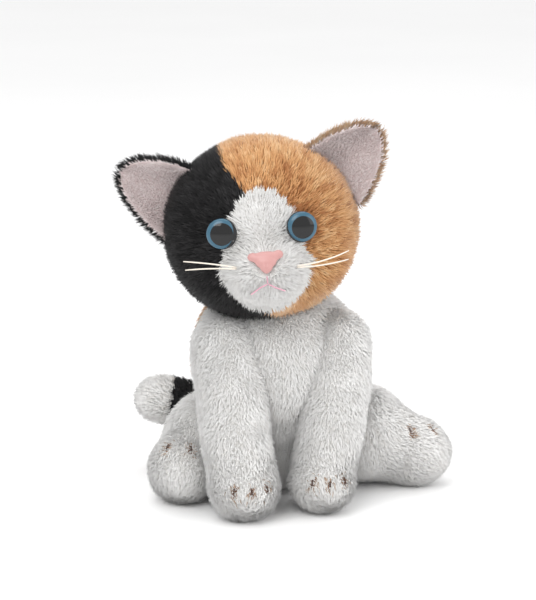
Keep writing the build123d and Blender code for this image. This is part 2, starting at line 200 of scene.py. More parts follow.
def backing_material(name, dark, light):
    """Knitted plush backing: mottled dye, with the fine loops of the pile's feet as relief."""
    made, tree, main = shader(name)
    dye = texture(tree, "ShaderNodeTexNoise", {"Scale": 420.0, "Detail": 6.0, "Roughness": 0.7})
    loops = texture(tree, "ShaderNodeTexVoronoi", {"Scale": 1500.0})
    colour = ramp_node(tree, dye.outputs["Fac"], [(0.3, dark), (0.7, light)])
    tree.links.new(colour.outputs["Color"], main.inputs["Base Color"])
    bump(tree, loops.outputs["Distance"], 0.6, 0.0004, main)
    set_inputs(main, {"Roughness": 0.9, "Sheen Weight": 0.3})
    return made


def fibre_material(name, colour, roughness=0.75, sheen=0.25, specular=0.3):
    """One dye lot of pile fibre; a coat mixes several."""
    made, _, main = shader(name)
    set_inputs(main, {
        "Base Color": (*colour, 1),
        "Roughness": roughness,
        "Sheen Weight": sheen,
        "Sheen Roughness": 0.4,
        "Specular IOR Level": specular,
    })
    return made


def fibre_lots(name, tints, **finish):
    """The dye lots of one colour, dark to light."""
    return [fibre_material(f"{name}_{index}", tint, **finish) for index, tint in enumerate(tints)]


WHITE = fibre_lots(
    "pile_white",
    [(0.84, 0.82, 0.79), (0.89, 0.88, 0.86), (0.93, 0.92, 0.905), (0.96, 0.955, 0.94)],
    sheen=0.35,
)
FACE_WHITE = fibre_lots(
    "pile_face",
    [(0.72, 0.705, 0.68), (0.77, 0.76, 0.74), (0.81, 0.80, 0.785), (0.85, 0.845, 0.83)],
    sheen=0.25,
)
# The lightest, grey lot is partly painted highlight: grey fibres, placed at random, stand for the
# grey highlights on black fur. The darker lots are dye.
BLACK = fibre_lots(
    "pile_black",
    [(0.003, 0.003, 0.0035), (0.006, 0.0055, 0.006), (0.010, 0.0095, 0.010), (0.026, 0.025, 0.026)],
    roughness=0.55,
    sheen=0.02,
    specular=0.25,
)
ORANGE = fibre_lots(
    "pile_orange",
    [(0.40, 0.16, 0.055), (0.60, 0.29, 0.115), (0.72, 0.39, 0.17), (0.82, 0.52, 0.27)],
)
LINING = fibre_lots(
    "pile_lining",
    [(0.66, 0.54, 0.53), (0.72, 0.61, 0.60), (0.77, 0.67, 0.66), (0.82, 0.73, 0.72)],
)
BROWN = fibre_lots(
    "pile_toe_shade",
    [(0.10, 0.045, 0.025), (0.17, 0.085, 0.05), (0.32, 0.19, 0.12), (0.50, 0.36, 0.26)],
)
BACKING = {
    "white": backing_material("backing_white", (0.82, 0.80, 0.77), (0.92, 0.91, 0.89)),
    "face": backing_material("backing_face", (0.68, 0.66, 0.63), (0.80, 0.78, 0.76)),
    "black": backing_material("backing_black", (0.004, 0.004, 0.005), (0.014, 0.014, 0.015)),
    "orange": backing_material("backing_orange", (0.33, 0.14, 0.05), (0.56, 0.28, 0.11)),
    "lining": backing_material("backing_lining", (0.66, 0.52, 0.51), (0.80, 0.67, 0.66)),
}
FIBRES = {"white": WHITE, "face": FACE_WHITE, "black": BLACK, "orange": ORANGE, "lining": LINING}


# ---------------------------------------------------------------- sewn skins


def meshed(build, name):
    """A mesh from a bmesh, which is used up."""
    mesh = bpy.data.meshes.new(name)
    build.to_mesh(mesh)
    build.free()
    return mesh


def placed(name, data):
    """A new object in the scene."""
    made = bpy.data.objects.new(name, data)
    SCENE.collection.objects.link(made)
    return made


def evaluated(obj, name):
    """A new object with obj's modifiers applied."""
    depsgraph = bpy.context.evaluated_depsgraph_get()
    mesh = bpy.data.meshes.new_from_object(obj.evaluated_get(depsgraph))
    mesh.name = name
    made = placed(name, mesh)
    bpy.data.objects.remove(obj)
    return made


def facing_out(mesh):
    """Turn every face of a closed mesh outward, and shade it smooth."""
    build = bmesh.new()
    build.from_mesh(mesh)
    bmesh.ops.recalc_face_normals(build, faces=build.faces)
    build.to_mesh(mesh)
    build.free()
    shade_smooth(mesh)


def coordinates(mesh):
    """The mesh's points as an array."""
    flat = np.empty(len(mesh.vertices) * 3, np.float32)
    mesh.vertices.foreach_get("co", flat)
    return flat.reshape(-1, 3).astype(float)


def set_coordinates(mesh, points):
    """Write the mesh's points back."""
    mesh.vertices.foreach_set("co", points.astype(np.float32).ravel())
    mesh.update()


def turn(yaw=0.0, pitch=0.0):
    """A rotation in degrees: pitch about X, then yaw about Z."""
    return Matrix.Rotation(math.radians(yaw), 4, "Z") @ Matrix.Rotation(
        math.radians(pitch), 4, "X"
    )


def lump(centre, radii, rotation=None):
    """One stretched ball of filling: its centre in metres, radii in millimetres."""
    rotation = rotation or Matrix.Identity(4)
    return (
        Matrix.Translation(Vector(centre))
        @ rotation
        @ Matrix.Diagonal((*(r * MM for r in radii), 1))
    )


LIMB_STEPS = 6  # lumps from one station of a limb to the next


def limb(stations):
    """Round lumps strung closely between stations of (centre in metres, radius in millimetres)."""
    lumps = []
    for (start, first), (end, last) in zip(stations, stations[1:]):
        for index in range(LIMB_STEPS):
            share = index / LIMB_STEPS
            radius = first + (last - first) * share
            lumps.append(lump(start + (end - start) * share, (radius,) * 3))
    return lumps


def sewn(name, lumps, voxel=1.7, smooth=14):
    """One closed skin over lumps of filling."""
    build = bmesh.new()
    for place in lumps:
        bmesh.ops.create_icosphere(build, subdivisions=4, radius=1, matrix=place)
    obj = placed(name, meshed(build, name))
    remesh = obj.modifiers.new("skin", "REMESH")
    remesh.mode = "VOXEL"
    remesh.voxel_size = voxel * MM
    even = obj.modifiers.new("even", "SMOOTH")
    even.factor = 0.5
    even.iterations = smooth
    return evaluated(obj, name)


CLOTH_FRAMES = 20
CLOTH_PRESSURE = 4.0


def stuffed(obj, cap):
    """Blow the skin up with the cloth solver. No point moves further than cap, in millimetres."""
    name = obj.name
    start = coordinates(obj.data)
    cloth = obj.modifiers.new("cloth", "CLOTH")
    cloth.settings.quality = 4
    cloth.settings.mass = 0.2
    cloth.settings.tension_stiffness = 12
    cloth.settings.compression_stiffness = 12
    cloth.settings.bending_stiffness = 0.3
    cloth.settings.use_pressure = True
    cloth.settings.uniform_pressure_force = CLOTH_PRESSURE
    cloth.settings.effector_weights.gravity = 0
    cloth.collision_settings.use_collision = False
    for step in range(1, CLOTH_FRAMES + 1):
        SCENE.frame_set(step)
    done = evaluated(obj, name)
    SCENE.frame_set(1)
    moved = coordinates(done.data) - start
    length = np.linalg.norm(moved, axis=1, keepdims=True)
    scale = np.minimum(1, cap * MM / np.maximum(length, 1e-9))
    set_coordinates(done.data, start + moved * scale)
    return done


SEAT_HEIGHT = 0.6  # millimetres from the ground up to a skin that sits on it
SEAT_GIVE = 0.04  # the share of its depth below that height that a point keeps


def sit(obj):
    """Flatten whatever would sink into the ground."""
    points = coordinates(obj.data)
    level = SEAT_HEIGHT * MM
    low = points[:, 2] < level
    points[low, 2] = level + (points[low, 2] - level) * SEAT_GIVE
    set_coordinates(obj.data, points)


def shade_smooth(mesh):
    """Round shading on every face."""
    mesh.polygons.foreach_set("use_smooth", np.ones(len(mesh.polygons), bool))


def panels(obj, choose, names):
    """Cut a skin along its seams into one piece for each name; choose gives each face's panel."""
    shade_smooth(obj.data)
    centres = np.array([p.center for p in obj.data.polygons])
    picked = choose(centres)
    made = []
    for index, name in enumerate(names):
        build = bmesh.new()
        build.from_mesh(obj.data)
        build.faces.ensure_lookup_table()
        loose = [face for face, panel in zip(build.faces, picked) if panel != index]
        bmesh.ops.delete(build, geom=loose, context="FACES")
        mesh = meshed(build, name)
        shade_smooth(mesh)
        made.append(placed(name, mesh))
    bpy.data.objects.remove(obj)
    return made


# ---------------------------------------------------------------- plush pile


MOST_FIBRES = 19800  # in one coat
FIBRE_SIDES = (0.0, 2.0944, 4.1888)  # the three corners of a fibre, a third of a turn apart
FIBRE_POINTS = 7
LOWEST_FIBRE = 0.05 * MM
WAVE = (0.35, 6 * MM)  # how far the comb's waves turn the fibres, and the size of a wave
STRAY = 0.18  # how far each fibre's lie strays by itself
TONE_CELL = 12 * MM  # the size of the drift in the dye


class Ground:
    """Where fibres can grow: the triangles of a skin, with smooth normals."""

    def __init__(self, obj):
        mesh = obj.data
        mesh.calc_loop_triangles()
        self.points = coordinates(mesh)
        corners = np.empty(len(mesh.loop_triangles) * 3, np.int32)
        mesh.loop_triangles.foreach_get("vertices", corners)
        self.corners = corners.reshape(-1, 3)
        a, b, c = (self.points[self.corners[:, i]] for i in range(3))
        cross = np.cross(b - a, c - a)
        self.areas = 0.5 * np.linalg.norm(cross, axis=1)
        normals = np.zeros_like(self.points)
        for i in range(3):
            np.add.at(normals, self.corners[:, i], cross)
        self.normals = unit(normals)

    def sow(self, per_mm2, rng):
        """Even random roots and their normals."""
        count = min(MOST_FIBRES, int(self.areas.sum() / MM**2 * per_mm2))
        steps = np.cumsum(self.areas)
        which = np.searchsorted(steps, (np.arange(count) + rng.random(count)) / count * steps[-1])
        which = np.minimum(which, len(self.areas) - 1)
        u, v = rng.random(count), rng.random(count)
        over = u + v > 1
        u[over], v[over] = 1 - u[over], 1 - v[over]
        weights = np.stack([1 - u - v, u, v], 1)[:, :, None]
        corner = self.corners[which]
        roots = (self.points[corner] * weights).sum(1)
        normals = unit((self.normals[corner] * weights).sum(1))
        return roots, normals


def fibre_mesh(name, roots, first, second, width, normals, lots, lot_of, even):
    """Closed three-sided fibres: a root triangle, a waist triangle and a point.

    even is how much they take the skin's shading rather than their own.
    """
    count = len(roots)
    side = unit(np.cross(first, normals + 1e-4))
    other = unit(np.cross(first, side))
    middle = roots + first
    tips = middle + second
    ring = []
    for centre, share in ((roots, 0.5), (middle, 0.42)):
        for angle in FIBRE_SIDES:
            around = side * math.cos(angle) + other * math.sin(angle)
            ring.append(centre + around * (width * share)[:, None])
    vertices = np.stack(ring + [tips], 1)
    vertices[..., 2] = np.maximum(vertices[..., 2], LOWEST_FIBRE)
    pattern = np.array(
        [
            (2, 1, 0),
            (0, 1, 4), (0, 4, 3), (1, 2, 5), (1, 5, 4), (2, 0, 3), (2, 3, 5),
            (3, 4, 6), (4, 5, 6), (5, 3, 6),
        ]
    )
    faces = (np.arange(count)[:, None, None] * FIBRE_POINTS + pattern[None]).reshape(-1, 3)
    mesh = bpy.data.meshes.new(name)
    mesh.vertices.add(count * FIBRE_POINTS)
    mesh.loops.add(len(faces) * 3)
    mesh.polygons.add(len(faces))
    mesh.vertices.foreach_set("co", vertices.astype(np.float32).ravel())
    mesh.loops.foreach_set("vertex_index", faces.astype(np.int32).ravel())
    mesh.polygons.foreach_set("loop_start", np.arange(len(faces), dtype=np.int32) * 3)
    mesh.polygons.foreach_set("use_smooth", np.ones(len(faces), bool))
    for lot in lots:
        mesh.materials.append(lot)
    mesh.polygons.foreach_set("material_index", np.repeat(lot_of, len(pattern)).astype(np.int32))
    mesh.update(calc_edges=True)
    radial = unit((vertices - vertices.mean(1, keepdims=True)).reshape(-1, 3))
    radial = radial.reshape(-1, FIBRE_POINTS, 3)
    radial[:, -1] = unit(second)
    soft = unit((normals[:, None] * even + radial).reshape(-1, 3))
    mesh.normals_split_custom_set_from_vertices(soft.astype(np.float32))
    return placed(name, mesh)


def pile(name, skin, comb, colour, length, seed, per_mm2=2.6, lean=0.9, width=0.42, clump=0.45,
         tuft=2.2, bare=None, shade=None, marks=None, even=1.3):
    """A plush coat on a skin.

    comb(roots) gives the way that the fibres lie, length(roots) theirs in millimetres, and
    bare(roots) is true where nothing grows. lean is how far they lie over: 0 stands up.
    shade(roots), 0 to 1, darkens the dye lots. marks are stitches that pinch and stain the pile.
    """
    rng = np.random.default_rng(seed)
    roots, normals = Ground(skin).sow(per_mm2, rng)
    if bare is not None:
        keep = ~bare(roots, normals)
        roots, normals = roots[keep], normals[keep]
    count = len(roots)
    way = comb(roots)
    way = unit(way - normals * (way * normals).sum(1, keepdims=True))
    way = way + WAVE[0] * drift(roots, WAVE[1], seed) + STRAY * rng.standard_normal((count, 3))
    long = length(roots) * MM * (0.8 + 0.35 * rng.random(count))
    if marks is not None:
        long = long * (0.5 + 0.5 * ramp(marks.away(roots), 0.6, 3.2))
    upright = unit(normals + 0.16 * rng.standard_normal((count, 3)))
    first = unit(upright + way * lean * 0.55)
    second = unit(upright + way * lean * 1.5 + 0.12 * rng.standard_normal((count, 3)))
    tips = roots + (first * 0.5 + second * 0.5) * long[:, None]
    middle, share = tuft_of(roots, tuft * MM, seed + 11)
    gather = (middle - roots) - normals * ((middle - roots) * normals).sum(1, keepdims=True)
    tips = tips + gather * clump
    first = first * (long * 0.5)[:, None]
    first = first + gather * clump * 0.25
    second = tips - roots - first
    lots = FIBRES[colour]
    tone = share * 2.0 + rng.random(count) * 1.6 + 0.5 * drift(roots, TONE_CELL, seed + 5)[:, 0]
    if shade is not None:
        tone = tone - shade(roots) * 3.0
    lot_of = np.clip(tone, 0, len(lots) - 1).round().astype(int)
    if marks is not None:
        lots = lots + BROWN
        near = np.exp(-((marks.away(roots) / 1.7) ** 2)) * 0.9
        stained = rng.random(count) < near
        depth = np.clip((1 - near) * 4 + rng.random(count), 0, 3).astype(int)
        lot_of = np.where(stained, len(lots) - 4 + depth, lot_of)
    wide = width * MM * (0.75 + 0.5 * rng.random(count))
    return fibre_mesh(name, roots, first, second, wide, normals, lots, lot_of, even)


def plush(name, skin, body, node, slot, colour, fill=0.8, replaced=(), **coat):
    """Dress a skin: its backing material and its pile, both on the body's empty, with the CAD nodes
    that they stand for hidden.
    """
    skin.data.materials.clear()
    skin.data.materials.append(BACKING[colour])
    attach(skin, body)
    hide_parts(node, *replaced)
    coat_piece = pile(f"{name}_pile", skin, colour=colour, **coat)
    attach(coat_piece, body)


# ---------------------------------------------------------------- threads


SLANT = (0.31, 0.17, 0.93)  # a direction that no thread runs along


def crossways(path):
    """Two directions square to a path and to each other, at each of its points."""
    ways = unit(np.gradient(path, axis=0))
    side = unit(np.cross(ways, np.tile(SLANT, (len(path), 1))))
    return side, unit(np.cross(ways, side))


def tube(path, radii, sides=8):
    """Points and faces of one closed tube along a path of points."""
    side, other = crossways(path)
    angles = np.linspace(0, math.tau, sides, endpoint=False)
    rings = (
        path[:, None]
        + side[:, None] * (np.cos(angles)[None, :, None] * radii[:, None, None])
        + other[:, None] * (np.sin(angles)[None, :, None] * radii[:, None, None])
    )
    points = rings.reshape(-1, 3)
    faces = []
    for ring in range(len(path) - 1):
        for index in range(sides):
            after = (index + 1) % sides
            low, high = ring * sides, (ring + 1) * sides
            faces.append((low + index, low + after, high + after, high + index))
    faces.append(tuple(reversed(range(sides))))
    faces.append(tuple(range(len(points) - sides, len(points))))
    return points, faces


def tubes(name, parts, material):
    """One mesh of several tubes."""
    points, faces = [], []
    for part_points, part_faces in parts:
        base = sum(len(group) for group in points)
        faces += [tuple(base + index for index in face) for face in part_faces]
        points.append(part_points)
    mesh = bpy.data.meshes.new(name)
    mesh.from_pydata([tuple(point) for point in np.concatenate(points)], [], faces)
    mesh.materials.append(material)
    shade_smooth(mesh)
    return placed(name, mesh)


def bowed(start, end, bow, steps=16):
    """Points from start to end, bowed sideways by a vector at the middle."""
    share = np.linspace(0, 1, steps)[:, None]
    return start + (end - start) * share + bow * (4 * share * (1 - share))


def twisted(path, radius, pitch):
    """Two plies of thread twisted round a path."""
    steps = np.linalg.norm(np.diff(path, axis=0), axis=1)
    run = np.concatenate([[0], np.cumsum(steps)])
    fine = np.linspace(0, run[-1], max(12, int(run[-1] / pitch * 10)))
    line = np.stack([np.interp(fine, run, path[:, axis]) for axis in range(3)], 1)
    side, other = crossways(line)
    parts = []
    for start in (0, math.pi):
        angle = (start + fine / pitch * math.tau)[:, None]
        ply = line + (side * np.cos(angle) + other * np.sin(angle)) * radius * 0.5
        parts.append(tube(ply, np.full(len(ply), radius * 0.62), 6))
    return parts


STITCH_REACH = 6.0  # millimetres; the points of one CAD stitch lie within this of each other


class Stitches:
    """Stitches made in the pile: lines that it is pinched at."""

    def __init__(self, lines):
        self.lines = lines

    def away(self, points):
        """Each point's distance from the nearest stitch, in millimetres."""
        best = np.full(len(points), 1e9)
        for start, end in self.lines:
            along = end - start
            share = np.clip(((points - start) @ along) / (along @ along), 0, 1)
            gap = np.linalg.norm(points - start - share[:, None] * along, axis=1)
            best = np.minimum(best, gap / MM)
        return best


def cad_stitches(node):
    """The low and high end of each stitch of a CAD node."""
    points = coordinates(frame["nodes"][node].data)
    lines = []
    while len(points):
        near = np.linalg.norm(points - points[0], axis=1) < STITCH_REACH * MM
        group = points[near]
        points = points[~near]
        low, high = group[group[:, 2].argmin()], group[group[:, 2].argmax()]
        lines.append((low, high))
    return lines


def thread_material(name, colour):
    """Spun thread: fine fibres along it, with a soft sheen."""
    made, tree, main = shader(name)
    spin = texture(tree, "ShaderNodeTexNoise", {"Scale": 3000.0, "Detail": 3.0})
    bump(tree, spin.outputs["Fac"], 0.4, 0.0001, main)
    set_inputs(main, {"Base Color": (*colour, 1), "Roughness": 0.6, "Sheen Weight": 0.3})
    return made


MOULD_GRAIN = 1200.0  # grains in a metre


def moulded_material(name, colour, roughness, coat=0.0, relief=0.00003):
    """Moulded plastic with the faint grain of its mould."""
    made, tree, main = shader(name)
    noise = texture(tree, "ShaderNodeTexNoise", {"Scale": MOULD_GRAIN, "Detail": 2.0})
    bump(tree, noise.outputs["Fac"], 0.25, relief, main)
    set_inputs(main, {
        "Base Color": (*colour, 1),
        "Roughness": roughness,
        "Coat Weight": coat,
        "Coat Roughness": 0.05,
    })
    return made


def paint(node, material):
    """A CAD node keeps its shape and gets a material."""
    for place in frame["nodes"][node].material_slots:
        place.material = material


# ---------------------------------------------------------------- the camera, floor and light

AZIMUTH = math.radians(-12)
ELEVATION = math.radians(12)
DISTANCE = 1.0
SENSOR = 36  # millimetres
FOCAL = 161.2  # millimetres
AIM_ACROSS = -0.0060
AIM_UP = 0.0762


def view_axes():
    """Right, up and back of the photograph's viewing direction."""
    right = Vector((math.cos(AZIMUTH), math.sin(AZIMUTH), 0))
    back = Vector(
        (
            math.sin(AZIMUTH) * math.cos(ELEVATION),
            -math.cos(AZIMUTH) * math.cos(ELEVATION),
            math.sin(ELEVATION),
        )
    )
    return right, back.cross(right), back


def make_camera():
    """The camera at the photograph's angle."""
    right, up, back = view_axes()
    lens = bpy.data.cameras.new("camera")
    lens.lens = FOCAL
    lens.sensor_width = SENSOR
    lens.sensor_fit = "HORIZONTAL"
    lens.clip_start = 0.05
    camera = placed("camera", lens)
    target = right * AIM_ACROSS + up * AIM_UP
    camera.matrix_world = Matrix.Translation(target + back * DISTANCE) @ Matrix(
        (right, up, back)
    ).transposed().to_4x4()
    SCENE.camera = camera


def make_floor():
    """A plain pale floor that runs off into a pale backdrop."""
    build = bmesh.new()
    bmesh.ops.create_grid(build, x_segments=2, y_segments=2, size=8)
    floor = placed("floor", meshed(build, "floor"))
    made, tree, main = shader("floor_paper")
    grain = tree.nodes.new("ShaderNodeTexNoise")
    set_inputs(grain, {"Scale": 60.0, "Detail": 3.0})
    pale = [(0.3, (0.94, 0.94, 0.94)), (0.7, (0.96, 0.96, 0.96))]
    colour = ramp_node(tree, grain.outputs["Fac"], pale)
    tree.links.new(colour.outputs["Color"], main.inputs["Base Color"])
    set_inputs(main, {"Roughness": 0.9, "Specular IOR Level": 0.1})
    floor.data.materials.append(made)


def area_light(name, place, aim, size, power):
    """A square softbox."""
    lamp = bpy.data.lights.new(name, "AREA")
    lamp.shape = "SQUARE"
    lamp.size = size
    lamp.energy = power
    obj = placed(name, lamp)
    obj.location = place
    obj.rotation_euler = (Vector(aim) - Vector(place)).to_track_quat("-Z", "Y").to_euler()


def make_light():
    """Soft studio light from above and both sides, and a bright pale room."""
    aim = (0, 0, 0.07)
    area_light("key", (-0.5, -0.7, 0.9), aim, 0.7, 5)
    area_light("fill", (0.9, -0.6, 0.5), aim, 0.8, 2.5)
    area_light("top", (0.0, 0.15, 1.1), aim, 0.9, 3)
    world = bpy.data.worlds.new("room")
    world.use_nodes = True
    set_inputs(world.node_tree.nodes["Background"], {"Color": (1, 1, 1, 1), "Strength": 0.95})
    SCENE.world = world
    SCENE.view_settings.view_transform = "Standard"


make_camera()
make_floor()
make_light()

# ---------------------------------------------------------------- head

NECK_SEAT = 37.5  # millimetres from the chest's middle to the hollow under the head
EYE_SPOTS = {
    side: np.mean([np.array(corner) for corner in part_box(f"eye_lens_{side}")], 0)
    for side in ("left", "right")
}
NOSE_SPOT = head_point(0.4, -41.6, -5.0)
NOSE_TILT = math.radians(31)
NOSE_AXES = HEAD_AXES @ np.array(
    [
        [1, 0, 0],
        [0, math.sin(NOSE_TILT), -math.cos(NOSE_TILT)],
        [0, math.cos(NOSE_TILT), math.sin(NOSE_TILT)],
    ]
)


def blaze_half_width(z):
    """Half the white blaze's width at a height of the head's frame, in millimetres."""
    heights = [-26, -24.5, -20, -9, 0, 4, 12, 16, 19, 20.5]
    widths = [0, 7.0, 13.5, 17.5, 13.0, 12.0, 10.6, 8.6, 5.8, 0]
    return np.interp(z, heights, widths)


def head_panel(points):
    """0 black, 1 orange, 2 white, by place on the head."""
    local = in_head(points)
    x, y, z = local.T
    seam = np.interp(z, [-32, -20, 14, 19, 25, 34], [2.0, -2.0, -4.0, -4.5, -10.0, -14.0])
    panel = np.where(x < seam, 0, 1)
    white = (np.abs(x - 0.4) < blaze_half_width(z)) & (y < -8) & (z < 20.5) & (z > -26)
    return np.where(white, 2, panel)


def head_comb(points):
    """The face is combed outward from the nose's bridge, and back over the crown."""
    local = in_head(points)
    x, _, z = local.T
    outward = np.stack([x * 1.1, np.full_like(x, 14), z + 4], 1)
    down = ramp(-z, 2, 25)[:, None] * np.array([[0, 4, -14]])
    return unit(outward + down) @ HEAD_AXES.T


def near_eyes(points, reach):
    """True within reach, in millimetres, of either eye's middle."""
    hit = np.zeros(len(points), bool)
    for spot in EYE_SPOTS.values():
        hit |= np.linalg.norm(points - spot, axis=1) < reach * MM
    return hit


def under_nose(points):
    """True where the nose sits."""
    nose = (points - NOSE_SPOT) @ NOSE_AXES / MM
    wide = np.interp(nose[:, 1], [-5, -2, 1.5, 4.2], [0.4, 2.2, 5.4, 6.0])
    return (np.abs(nose[:, 0]) < wide) & (np.abs(nose[:, 1]) < 4.0) & (nose[:, 2] > -6)


def face_bare(points, _):
    """No fibres under the eyes and the nose."""
    return near_eyes(points, 6.0) | under_nose(points)


def blaze_bare(points, _):
    """The blaze's pile comes in over the eyes' rims."""
    return near_eyes(points, 4.9) | under_nose(points)


def seat_on_chest(skin):
    """Hollow the head's underside, so that it turns on the round top of the chest."""
    points = coordinates(skin.data)
    away = points - CHEST
    reach = np.linalg.norm(away, axis=1, keepdims=True)
    set_coordinates(skin.data, CHEST + away * np.maximum(1, NECK_SEAT * MM / reach))


def make_head():
    """The head's three panels and their coats."""
    turned = HEAD_TURN.to_4x4()
    lumps = [
        lump(head_point(-0.2, 0.5, 0.4), (36.7, 32.8, 35.0), turned),
        lump(head_point(-12, -9, -8), (19.5, 19.5, 18.5), turned),
        lump(head_point(12.5, -9, -8), (20, 19.5, 18.5), turned),
        lump(head_point(0.4, -28.5, -11.5), (14.6, 13.6, 12.2), turned),
        lump(head_point(0.4, -24.5, 2), (8.5, 10.5, 15), turned),
        lump(head_point(0.4, -19, -19), (12, 14, 10), turned),
    ]
    skin = stuffed(sewn("head", lumps), cap=0.8)
    seat_on_chest(skin)
    pieces = panels(skin, head_panel, ["head_black_skin", "head_orange_skin", "head_blaze_skin"])
    black, orange, white = pieces

    def pile_length(points):
        local = in_head(points)
        short = ramp(-local[:, 1], 18, 34)
        return 4.2 - 1.1 * short

    # Darker orange at the crown's parting and in a ring round each eye: partly the toy's own
    # airbrushed dye, partly painted shade where the pile parts and round the eyes.
    def orange_airbrush_and_shade(points):
        local = in_head(points)
        part = np.exp(-((local[:, 0] - 13) / 6) ** 2 - ((local[:, 2] - 17) / 9) ** 2)
        around = np.zeros(len(points))
        for spot in EYE_SPOTS.values():
            away = np.linalg.norm(points - spot, axis=1) / MM
            around = np.maximum(around, np.exp(-(((away - 7) / 3.5) ** 2)))
        return 0.32 * part + 0.6 * around

    def blaze_length(points):
        """Short on the bridge, longer on the muzzle, and over the eyes' inner rims."""
        local = in_head(points)
        muzzle = ramp(-local[:, 2], 2, 10)
        beside = ramp(-np.abs(np.abs(local[:, 0]) - 10.5), -4, -2) * ramp(local[:, 2], -7, -2)
        return 2.4 + 0.9 * muzzle + 2.4 * beside * ramp(-local[:, 2], -13, -9)

    common = {"comb": head_comb, "bare": face_bare, "length": pile_length, "lean": 1.0}
    plush("head_black", black, "head", "head_black_panel", "plush_black", "black", seed=11,
          per_mm2=2.6, **common)
    plush("head_orange", orange, "head", "head_orange_panel", "plush_orange", "orange", seed=12,
          per_mm2=2.6, shade=orange_airbrush_and_shade, **common)
    plush("head_blaze", white, "head", "head_blaze_panel", "plush_white", "face", seed=13,
          per_mm2=3.4, replaced=["head_stuffing"], clump=0.24, even=4.0,
          **{**common, "length": blaze_length, "bare": blaze_bare})


NOSE_LUMPS = [
    ((-4.8, 2.2, 0.0), (2.1, 1.8, 1.5)),
    ((5.0, 2.5, 0.0), (2.1, 1.8, 1.5)),
    ((0.0, 1.6, 0.1), (5.8, 2.5, 1.9)),
    ((0.1, -0.2, 0.2), (4.2, 2.7, 2.0)),
    ((0.1, -2.0, 0.1), (2.6, 2.6, 1.8)),
    ((0.1, -3.3, 0.0), (1.6, 1.6, 1.4)),
]


def make_nose():
    """The nose: two soft lobes over a round point, with a small cleft."""
    axes = Matrix(NOSE_AXES.tolist()).to_4x4()
    lumps = [
        lump(NOSE_SPOT + NOSE_AXES @ mm(*centre), radii, axes) for centre, radii in NOSE_LUMPS
    ]
    nose = sewn("nose_cap", lumps, voxel=0.35, smooth=10)
    points = coordinates(nose.data)
    local = (points - NOSE_SPOT) @ NOSE_AXES / MM
    cleft = np.exp(-((local[:, 0] - 0.1) / 0.35) ** 2) * ramp(-local[:, 1], 0.2, 2.4) * 0.35
    set_coordinates(nose.data, points - NOSE_AXES[:, 2] * (cleft * MM)[:, None])
    shade_smooth(nose.data)
    nose.data.materials.clear()
    nose.data.materials.append(
        moulded_material("nose_satin", (0.54, 0.28, 0.265), 0.4, coat=0.1)
    )
    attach(nose, "head")
    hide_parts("nose")


MOUTH = [
    [(0.4, -44.4, -10.2), (0.5, -44.3, -13.2)],
    [(0.2, -44.2, -13.4), (-2.6, -43.9, -14.6), (-6.2, -42.4, -17.2)],
    [(0.8, -44.2, -13.4), (3.2, -43.8, -15.0), (6.9, -42.2, -17.0)],
]


def make_mouth():
    """The mouth's pink thread: a drop from the nose and a branch to each side."""
    parts = []
    for line in MOUTH:
        path = np.array([head_point(*point) for point in line])
        parts += twisted(path, 0.27 * MM, 0.0014)
    mouth = tubes("mouth_thread", parts, thread_material("thread_mouth", (0.70, 0.36, 0.45)))
    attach(mouth, "head")
    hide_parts("mouth_stitches")


WHISKERS = {
    "right": [
        ((-11.0, -38.4, -6.9), (-31.0, -39.4, -2.6), 0.5),
        ((-11.0, -38.4, -7.5), (-30.6, -39.0, -6.1), 0.6),
    ],
    "left": [
        ((12.2, -38.2, -8.4), (32.6, -38.6, -4.2), -0.7),
        ((12.2, -38.2, -9.0), (32.2, -38.4, -7.6), -0.4),
    ],
}


def make_whiskers(side):
    """Two waxed threads that leave the muzzle at one place and spread."""
    parts = []
    for start, end, bow in WHISKERS[side]:
        path = bowed(head_point(*start), head_point(*end), HEAD_AXES @ mm(0, -1.2, bow))
        radii = np.interp(np.linspace(0, 1, len(path)), [0, 0.8, 1], [0.30, 0.26, 0.20]) * MM
        parts.append(tube(path, radii))
    waxed = thread_material(f"thread_whisker_{side}", (0.83, 0.76, 0.66))
    pair = tubes(f"whisker_pair_{side}", parts, waxed)
    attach(pair, "head")
    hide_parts(f"whiskers_{side}")


EYE_RADIUS = 5.9
EYE_PUPIL = 4.5
EYE_DOME = 2.5
EYE_SKIRT = 0.8  # how far the rim goes back into the head
EYE_SIDES = 64
EYE_RINGS = 20


